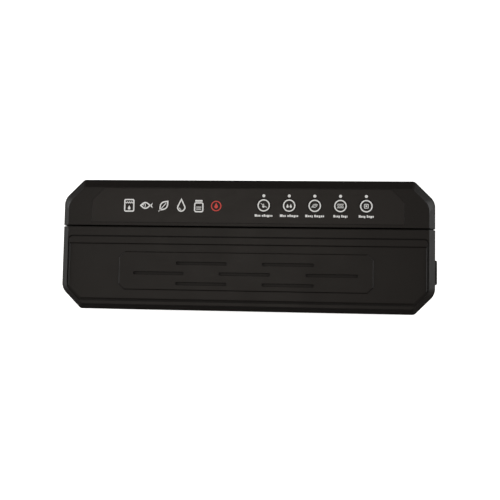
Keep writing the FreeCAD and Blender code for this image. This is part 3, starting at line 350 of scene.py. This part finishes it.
def foam():
    """Closed-cell sponge: small cells of two sizes, with painted shade in the pits."""
    look = Look("foam")
    small = look.cells(0.55 * MM)
    large = look.cells(1.3 * MM)
    pits = look.math("MULTIPLY", small, large)
    pit_shade_share = look.remap(pits, 0.02, 0.35, 0.0, 1.0)
    # Painted shade of the pits: the colour darkens as the pits value, which also drives the bump,
    # rises.
    look.set("Base Color", look.blend(
        pit_shade_share, (0.055, 0.055, 0.058, 1), (0.018, 0.018, 0.019, 1)))
    look.set("Roughness", look.remap(small, 0.0, 0.6, 0.82, 0.95))
    look.set("Sheen Weight", 0.15)
    look.set("Normal", look.bump(pits, 0.28 * MM, look.soft_edge(0.5 * MM), strength=0.9))
    return look


def silicone():
    """Milky silicone that glows a little at its edges and holds dust."""
    look = Look("silicone")
    cloud = look.noise(9 * MM, 3.0)
    dust = look.remap(look.noise(0.6 * MM, 5.0), 0.60, 0.70, 0.0, 0.12)
    clean = look.blend(cloud, (0.60, 0.60, 0.58, 1), (0.70, 0.70, 0.67, 1))
    look.set("Base Color", look.blend(dust, clean, (0.30, 0.28, 0.25, 1)))
    look.set("Roughness", look.remap(cloud, 0.3, 0.7, 0.42, 0.58))
    look.set("Subsurface Weight", 0.4)
    look.set("Subsurface Radius", (1.5 * MM, 1.4 * MM, 1.3 * MM))
    look.set("Subsurface Scale", 1.0)
    look.set("Normal", look.bump(look.noise(0.8 * MM, 2.0), 0.02 * MM, look.soft_edge(0.5 * MM)))
    return look


def phenolic():
    """Paper laminate: brown, with layers along its height and fibre flecks."""
    look = Look("phenolic")
    layers = look.waves(0.45 * MM, "Z")
    fleck = look.noise(1.2 * MM, 5.0, (0.3, 1, 1))
    tone = look.blend(layers, (0.075, 0.040, 0.020, 1), (0.110, 0.062, 0.033, 1))
    pale_share = look.remap(fleck, 0.5, 0.7, 0.0, 0.6)
    look.set("Base Color", look.blend(pale_share, tone, (0.160, 0.100, 0.060, 1)))
    look.set("Roughness", look.remap(fleck, 0.3, 0.7, 0.45, 0.62))
    look.set("Normal", look.bump(layers, 0.02 * MM, look.soft_edge(0.3 * MM)))
    return look


def tape():
    """Plain-woven glass cloth soaked in PTFE: brown, slick, with the threads showing."""
    look = Look("tape")
    warp = look.waves(0.7 * MM, "X")
    weft = look.waves(0.7 * MM, "Y")
    warp_side = look.math("SUBTRACT", warp, 0.5)
    weft_side = look.math("SUBTRACT", weft, 0.5)
    over = look.math("GREATER_THAN", look.math("MULTIPLY", warp_side, weft_side), 0.0)
    threads = look.math("MAXIMUM", warp, weft)
    scorch = look.remap(look.noise(16 * MM, 3.0), 0.42, 0.66, 0.0, 0.55)
    cloth = look.blend(over, (0.155, 0.088, 0.044, 1), (0.200, 0.122, 0.066, 1))
    look.set("Base Color", look.blend(scorch, cloth, (0.085, 0.045, 0.024, 1)))
    look.set("Roughness", look.remap(threads, 0.4, 1.0, 0.52, 0.34))
    look.set("Normal", look.bump(threads, 0.05 * MM))
    return look


def steel():
    return brushed_metal("steel", (0.56, 0.56, 0.57), 0.32, (0.15, 1, 1))


def brass():
    return brushed_metal("brass", (0.72, 0.52, 0.25), 0.30, (1, 1, 0.2))


def motor_can():
    return brushed_metal("motor_can", (0.50, 0.50, 0.52), 0.34, (1, 1, 1), plating=0.14)


def pump_plastic():
    color = (0.52, 0.52, 0.49)
    look = moulded_plastic("pump_plastic", color, roughness=0.50, grain=0.9 * MM,
                           depth=0.012 * MM, worn=0.1)
    look.set("Subsurface Weight", 0.1)
    look.set("Subsurface Radius", (1 * MM, 1 * MM, 1 * MM))
    return look


def bracket_steel():
    return brushed_metal("bracket_steel", (0.33, 0.33, 0.35), 0.42, (1, 0.2, 1), plating=0.08)


def board():
    """Green solder mask over copper tracks, with pads picked out in tin."""
    look = Look("board")
    tracks = look.remap(look.noise(4.5 * MM, 0.0, (0.35, 1, 1)), 0.49, 0.51, 0.0, 1.0)
    pads = look.remap(look.cells(3.4 * MM), 0.16, 0.18, 1.0, 0.0)
    mask = look.blend(tracks, (0.010, 0.080, 0.030, 1), (0.020, 0.135, 0.050, 1))
    look.set("Base Color", look.blend(pads, mask, (0.62, 0.62, 0.60, 1)))
    look.set("Metallic", look.math("MULTIPLY", pads, 0.9))
    look.set("Roughness", look.remap(tracks, 0.0, 1.0, 0.30, 0.24))
    look.set("Normal", look.bump(look.math("ADD", tracks, pads), 0.03 * MM))
    return look


def component():
    color = (0.020, 0.020, 0.021)
    return moulded_plastic("component", color, roughness=0.42, grain=0.3 * MM,
                           depth=0.006 * MM, worn=0.2)


def winding():
    """A laminated core, with yellow tape where the coil stands out of it."""
    look = Look("winding")
    plates = look.waves(0.5 * MM, "X")
    wrap = look.waves(3.1 * MM, "Z")
    height = look.add("SeparateXYZ", [("Vector", look.place)]).outputs["Z"]
    coil_low, coil_high, fade = 16 * MM, 32 * MM, 0.6 * MM
    above = look.remap(height, coil_low, coil_low + fade, 0.0, 1.0)
    below = look.remap(height, coil_high, coil_high + fade, 1.0, 0.0)
    coil = look.math("MULTIPLY", above, below)
    iron = look.blend(plates, (0.035, 0.033, 0.032, 1), (0.090, 0.085, 0.080, 1))
    film_tape = look.blend(wrap, (0.52, 0.34, 0.03, 1), (0.66, 0.46, 0.06, 1))
    look.set("Base Color", look.blend(coil, iron, film_tape))
    look.set("Roughness", look.remap(coil, 0.0, 1.0, 0.55, 0.34))
    look.set("Normal", look.bump(plates, 0.04 * MM, look.soft_edge(0.3 * MM)))
    return look


def cable():
    """Insulated leads: soft vinyl with a faint ripple along each."""
    look = Look("cable")
    ripple = look.waves(1.27 * MM, "Y")
    age = look.noise(5 * MM, 3.0)
    look.set("Base Color", look.blend(age, (0.20, 0.20, 0.21, 1), (0.29, 0.29, 0.30, 1)))
    look.set("Roughness", look.remap(age, 0.3, 0.7, 0.40, 0.55))
    look.set("Normal", look.bump(ripple, 0.12 * MM))
    return look


def label_paper():
    """Silvered label stock, a little creased."""
    look = Look("label_paper")
    crease = look.noise(7 * MM, 4.0, (1, 2, 1), 0.6)
    fibre = look.noise(0.35 * MM, 3.0)
    look.set("Base Color", look.blend(crease, (0.50, 0.50, 0.50, 1), (0.58, 0.58, 0.57, 1)))
    look.set("Metallic", 0.35)
    look.set("Roughness", look.remap(fibre, 0.3, 0.7, 0.38, 0.50))
    look.set("Normal", look.bump(crease, 0.05 * MM))
    return look


def painted_shade_and_ink():
    """Near-black plastic: painted shade for the screws' cross recesses, and the dark print on the
    rating label.
    """
    color = (0.010, 0.010, 0.010)
    return moulded_plastic("painted_shade_and_ink", color, roughness=0.7, grain=0.5 * MM, depth=0.01 * MM)


SLOT_LOOKS = [
    housing, inner_plastic, film, key_cap, lens, rubber_foot, foam, silicone, phenolic, steel,
    tape, brass, motor_can, pump_plastic, bracket_steel, board, component, winding, cable,
]


def dress_nodes():
    """Give every CAD node the material of its slot in the record."""
    made = {build.__name__: build().material for build in SLOT_LOOKS}
    for name, node in NODES.items():
        node.data.materials.clear()
        node.data.materials.append(made[SLOT_OF[name]])
    return made


# ---------------------------------------------------------------- softened edges

EDGE_WIDTHS = {
    "lid_shell": 0.35, "control_cover": 0.35, "base_shell": 0.5,
    "sealing_platform": 0.35, "vacuum_tray": 0.35, "hinge_rail": 0.35,
    "latch_button_left": 0.3, "latch_button_right": 0.3, "panel_overlay": 0.1,
    "lid_inner_plate": 0.3, "lid_hook_left": 0.3, "lid_hook_right": 0.3, "mains_inlet": 0.35,
    "heater_bar": 0.4, "pressure_strip": 0.9, "upper_gasket": 0.9, "lower_gasket": 0.9,
    "foot_front_left": 0.6, "foot_front_right": 0.6, "foot_rear_left": 0.6, "foot_rear_right": 0.6,
    "key_dry": 0.15, "key_moist": 0.15, "key_gentle": 0.15, "key_seal": 0.15, "key_stop": 0.15,
}
SHARP_FROM = 28    # degrees; a flatter corner between two faces stays as it is


def soften_edges():
    """Round the sharp edges that show, by their width in millimetres."""
    for name, width in EDGE_WIDTHS.items():
        node = NODES[name]
        weld = node.modifiers.new("weld", "WELD")
        weld.merge_threshold = 0.001 * MM
        bevel = node.modifiers.new("soft_edge", "BEVEL")
        bevel.width = width * MM
        bevel.segments = 2
        bevel.limit_method = "ANGLE"
        bevel.angle_limit = math.radians(SHARP_FROM)
        bevel.use_clamp_overlap = True
        bevel.harden_normals = False


# ---------------------------------------------------------------- printed marks

def arc(x, y, radius, start, end, steps=24):
    """Points on a circle, angles in degrees."""
    spread = [math.radians(start + (end - start) * step / steps) for step in range(steps + 1)]
    return [(x + radius * math.cos(turn), y + radius * math.sin(turn)) for turn in spread]


def circle(x, y, radius):
    return arc(x, y, radius, 0, 360, 48)[:-1]


def side_points(points, closed, offset):
    """The points moved sideways by offset, mitred at the corners."""
    moved = []
    count = len(points)
    for index, here in enumerate(points):
        back = points[index - 1] if closed or index > 0 else None
        ahead = points[(index + 1) % count] if closed or index < count - 1 else None
        normals = []
        for first, second in ((back, here), (here, ahead)):
            if first is None or second is None:
                continue
            step = Vector(second) - Vector(first)
            normals.append(Vector((-step.y, step.x)).normalized())
        middle = sum(normals, Vector((0, 0))).normalized()
        sharpest = 0.5    # keeps a mitre within twice the offset
        stretch = 1 / max(middle.dot(normals[0]), sharpest)
        moved.append(Vector(here) + middle * offset * stretch)
    return moved


def band(points, width):
    """A closed line of a given width, as (outer, inner) points."""
    return side_points(points, True, width / 2), side_points(points, True, -width / 2)


def stroke(points, width):
    """An open line of a given width with round ends, as one outline."""
    left = side_points(points, False, width / 2)
    right = side_points(points, False, -width / 2)
    caps = []
    for tip, inward in ((points[-1], points[-2]), (points[0], points[1])):
        aim = math.degrees(math.atan2(tip[1] - inward[1], tip[0] - inward[0]))
        caps.append(arc(*tip, width / 2, aim + 90, aim - 90, 8)[1:-1])
    return [*left, *caps[0], *reversed(right), *caps[1]]


def moved(shape, x, y, scale=1.0):
    """A shape scaled and shifted; a shape is one outline, or a pair of them."""
    if isinstance(shape, tuple):
        return tuple(moved(each, x, y, scale) for each in shape)
    return [(point[0] * scale + x, point[1] * scale + y) for point in shape]


def printed(name, shapes, level, body, material, thick=0.05, facing=1):
    """A thin layer of flat shapes that rides on a body; facing -1 makes it grow downwards.

    The shapes and the thickness are in millimetres, and the level in metres.
    """
    mesh = bmesh.new()
    faces = []
    for shape in shapes:
        if isinstance(shape, tuple):
            outer, inner = [[mesh.verts.new((p[0] * MM, p[1] * MM, level)) for p in each]
                            for each in shape]
            count = len(outer)
            for index in range(count):
                ahead = (index + 1) % count
                faces.append(mesh.faces.new(
                    (outer[index], outer[ahead], inner[ahead], inner[index])))
        else:
            faces.append(mesh.faces.new([
                mesh.verts.new((p[0] * MM, p[1] * MM, level)) for p in shape]))
    raised = bmesh.ops.extrude_face_region(mesh, geom=faces)
    tops = [each for each in raised["geom"] if isinstance(each, bmesh.types.BMVert)]
    bmesh.ops.translate(mesh, verts=tops, vec=(0, 0, thick * MM * facing))
    bmesh.ops.recalc_face_normals(mesh, faces=mesh.faces)
    data = bpy.data.meshes.new(name)
    mesh.to_mesh(data)
    mesh.free()
    data.materials.append(material)
    piece = bpy.data.objects.new(name, data)
    bpy.context.scene.collection.objects.link(piece)
    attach(piece, body)
    return piece


def rounded_box(x_low, x_high, y_low, y_high, radius):
    """A rectangle with rounded corners."""
    corners = [(x_high - radius, y_high - radius, 0), (x_low + radius, y_high - radius, 90),
               (x_low + radius, y_low + radius, 180), (x_high - radius, y_low + radius, 270)]
    points = []
    for x, y, start in corners:
        points += arc(x, y, radius, start, start + 90, 6)
    return points


def teardrop(x, y, radius):
    """A drop with its tip up."""
    return [(x, y + radius * 2.3), *arc(x, y, radius, 150, 390, 28)]


def lens_shape(length, height):
    """A pointed oval from -length/2 to length/2, height to each side."""
    reach = length / 2
    steps = 16
    upper = [(reach - length * step / steps, height * math.sin(math.pi * step / steps))
             for step in range(steps)]
    lower = [(-x, -y) for x, y in upper]
    return upper + lower


def turned(points, degrees):
    """The points turned about the origin, anticlockwise."""
    turn = math.radians(degrees)
    return [(x * math.cos(turn) - y * math.sin(turn), x * math.sin(turn) + y * math.cos(turn))
            for x, y in points]


LINE = 1.3            # stroke of the outlines in the row of pictograms
PICTURE_LINE = 38.6   # Y of that row
PICTURE_FIRST = -117.0
PICTURE_PITCH = 17.6
ACCENT_X = -29.2
CAPTION_LOW = 28.4    # Y of the foot of the captions
CAPTION_HEIGHT = 1.75
CAPTIONS = [          # length, then the shares of its bars, with 0 for a space
    (17.6, (2.2, 1.3, 1.3, 0, 1.4, 1.4, 1.2, 1.9, 1.2, 1.3)),
    (18.0, (2.6, 1.3, 0.8, 0, 1.4, 1.3, 1.9, 1.2, 0.8, 1.3)),
    (18.4, (2.0, 1.4, 1.2, 0.9, 0, 1.4, 1.9, 1.3, 1.3, 1.2)),
    (13.8, (1.7, 0.8, 1.3, 1.3, 0, 1.3, 1.4, 1.3, 0.8)),
    (14.6, (2.0, 1.2, 0.9, 1.3, 0, 1.3, 1.4, 1.9, 1.2)),
]
RING_RADIUS = 5.5
RING_STROKE = 1.2


def bag_picture():
    zigzag = [(-4 + step, 2.9 + 0.7 * (-1) ** step) for step in range(9)]
    return [
        band(rounded_box(-4.6, 4.6, -5.8, 5.8, 1.2), LINE),
        stroke(zigzag, 0.7),
        teardrop(0, -2.9, 1.35),
    ]


def fish_picture():
    body = moved(lens_shape(9.4, 2.9), -1.2, 0)
    tail = [(3.6, 0.4), (6.3, 2.8), (5.4, 0), (6.3, -2.8), (3.6, -0.4)]
    eye = circle(-3.4, 0.6, 0.62)
    gill = stroke(arc(-4.6, 0, 3.4, -32, 32), 0.7)
    return [band(body, LINE), tail, eye, gill]


def leaf_picture():
    blade = turned(lens_shape(11.6, 3.3), 48)
    rib = turned([(-7.6, 0), (-2, 0), (3.2, 0)], 48)
    return [band(blade, LINE), stroke(rib, 0.8)]


def drop_picture():
    return [band(teardrop(0, -1.8, 3.6), LINE), stroke(arc(0, -1.8, 1.9, 200, 260), 0.7)]


def jar_picture():
    return [
        band(rounded_box(-4.1, 4.1, -5.8, 3.0, 1.5), LINE),
        rounded_box(-3.7, 3.7, 4.2, 5.9, 0.5),
        stroke([(-2.2, -1.2), (0, -1.2), (2.2, -1.2)], 0.8),
        stroke([(-2.2, -3.2), (0, -3.2), (2.2, -3.2)], 0.8),
    ]


def warm_picture():
    """The red accent: a ring round a small drop."""
    return [band(circle(0, 0, 4.7), 1.0), teardrop(0, -0.7, 1.75)]


PICTURES = [bag_picture, fish_picture, leaf_picture, drop_picture, jar_picture]


def panel_marks(looks):
    """Pictograms at the left of the panel, and a row of short bars under each key."""
    shapes = []
    for index, picture in enumerate(PICTURES):
        x = PICTURE_FIRST + PICTURE_PITCH * index
        shapes += [moved(shape, x, PICTURE_LINE) for shape in picture()]
    for x, (length, bars) in zip(key_centres(), CAPTIONS):
        shapes += caption(x, length, bars)
    printed("panel_print", shapes, PANEL_TOP, "base", looks["white"])
    accent = [moved(shape, ACCENT_X, PICTURE_LINE) for shape in warm_picture()]
    printed("panel_accent", accent, PANEL_TOP, "base", looks["red"])


def caption(x, length, bars):
    """A row of short bars of the given shares, with a space where a share is 0."""
    gap, space = 0.35, 0.9
    tail, head, corner = 0.55, 0.6, 0.2
    scale = length / (sum(width + gap if width else space for width in bars) - gap)
    left = x - length / 2
    shapes = []
    for index, width in enumerate(bars):
        if not width:
            left += space * scale
            continue
        low = CAPTION_LOW - (tail if index % 4 == 3 else 0)
        high = CAPTION_LOW + CAPTION_HEIGHT + (head if index % 5 == 0 else 0)
        right = left + width * scale
        shapes.append(rounded_box(left, right, low, high, corner))
        left = right + gap * scale
    return shapes


def key_centres():
    """X of the keys, in millimetres."""
    for name in KEY_NAMES:
        low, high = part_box(name)
        yield (low.x + high.x) / 2 / MM


def dry_glyph():
    return [teardrop(-0.2, -1.0, 1.25), stroke([(-2.7, 1.9), (0, 0), (2.7, -1.9)], 0.55)]


def moist_glyph():
    return [teardrop(-1.6, -1.0, 1.15), teardrop(1.6, -1.0, 1.15)]


def gentle_glyph():
    blade = turned(lens_shape(5.6, 1.5), 24)
    return [band(blade, 0.55), stroke(turned([(-3.4, 0), (0, 0), (1.4, 0)], 24), 0.5)]


def seal_glyph():
    zigzag = [(-2.8 + 0.8 * step, 0.5 * (-1) ** step) for step in range(8)]
    return [
        stroke(zigzag, 0.5),
        stroke([(-2.9, 1.7), (0, 1.7), (2.9, 1.7)], 0.6),
        stroke([(-2.9, -1.7), (0, -1.7), (2.9, -1.7)], 0.6),
    ]


def stop_glyph():
    return [
        band(rounded_box(-1.9, 1.9, -1.9, 1.9, 0.5), 0.65),
        rounded_box(-0.8, 0.8, -0.8, 0.8, 0.2),
    ]


GLYPHS = [dry_glyph, moist_glyph, gentle_glyph, seal_glyph, stop_glyph]


def key_marks(looks):
    """A ring and a glyph on every key."""
    for name, x, glyph in zip(KEY_NAMES, key_centres(), GLYPHS):
        low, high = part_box(name)
        y = (low.y + high.y) / 2 / MM
        shapes = [moved(shape, x, y) for shape in glyph()]
        shapes.append(band(circle(x, y, RING_RADIUS), RING_STROKE))
        printed(name + "_print", shapes, high.z, name, looks["white"])


# ---------------------------------------------------------------- small parts that show inside

def screw_cross_shade(looks):
    """Painted shade of the cross recesses in the screw heads: thin dark inlays on their faces."""
    arm, half, thick = 1.7, 0.42, 0.02
    cross = [(half, arm), (-half, arm), (-half, half), (-arm, half), (-arm, -half), (-half, -half),
             (-half, -arm), (half, -arm), (half, -half), (arm, -half), (arm, half), (half, half)]
    base_places = [(-120, -53), (0, -53), (120, -53), (-135, 55), (-12, 55), (165, 48)]
    lid_places = [(x, y) for x in (-140, 0, 140) for y in (-58.3, 6)]
    for name, places, node, body in (
            ("base_screw_cross_shade", base_places, "base_screws", "base"),
            ("lid_screw_cross_shade", lid_places, "lid_screws", "lid")):
        shapes = [moved(cross, x, y) for x, y in places]
        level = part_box(node)[0].z
        printed(name, shapes, level, body, looks["recess"], thick, -1)


def rating_label(looks):
    """A blank rating plate under the base, with bars where the figures would be."""
    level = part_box("base_shell")[0].z
    paper, print_layer = 0.08, 0.02
    left, right = -24, 24
    lines = ((9, 30), (5.6, 44), (2.2, 38), (-1.2, 46), (-4.6, 26))
    marks, mark_left, mark_pitch, mark_width = 8, -22, 5.6, 2.4

    plate = rounded_box(-28, 28, -16, 14, 2)
    printed("rating_label", [plate], level, "base", looks["label"], paper, -1)
    shapes = [rounded_box(left, left + width, y, y + 1.4, 0.4) for y, width in lines]
    shapes.append(band(rounded_box(left, right, -13.4, -7.4, 0.6), 0.5))
    for step in range(marks):
        x = mark_left + mark_pitch * step
        shapes.append(rounded_box(x, x + mark_width, -12, -8.8, 0.3))
    printed("rating_label_print", shapes, level - paper * MM, "base",
            looks["recess"], print_layer, -1)


def recess_ribs(looks):
    """Low ribs on the recess's floor, which keep the bag off the suction hole."""
    floor_above_nozzle_foot = 6.4
    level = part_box("suction_nozzle")[0].z + floor_above_nozzle_foot * MM
    pitch, half_width, front, rear, height = 12.5, 0.9, -30, -10, 0.9
    shapes = []
    for step in range(-11, 12):
        x = step * pitch
        shapes.append(rounded_box(x - half_width, x + half_width, front, rear, 0.8))
    ribs = printed("recess_ribs", shapes, level, "base", looks["inner"], height)
    bevel = ribs.modifiers.new("soft_edge", "BEVEL")
    bevel.width = 0.3 * MM
    bevel.segments = 2


# ---------------------------------------------------------------- build

def main():
    slot_looks = dress_nodes()
    soften_edges()
    looks = {
        "white": ink("ink_white", (0.90, 0.90, 0.89)).material,
        "red": ink("ink_red", (0.72, 0.055, 0.040)).material,
        # Near-black: painted shade in the screw heads' cross recesses, and the rating label's dark
        # print.
        "recess": painted_shade_and_ink().material,
        "label": label_paper().material,
        "inner": slot_looks["inner_plastic"],
    }
    panel_marks(looks)
    key_marks(looks)
    screw_cross_shade(looks)
    rating_label(looks)
    recess_ribs(looks)
    add_camera()
    add_world()
    add_floor()
    add_lights()
    bpy.context.scene.view_settings.view_transform = "Standard"


main()
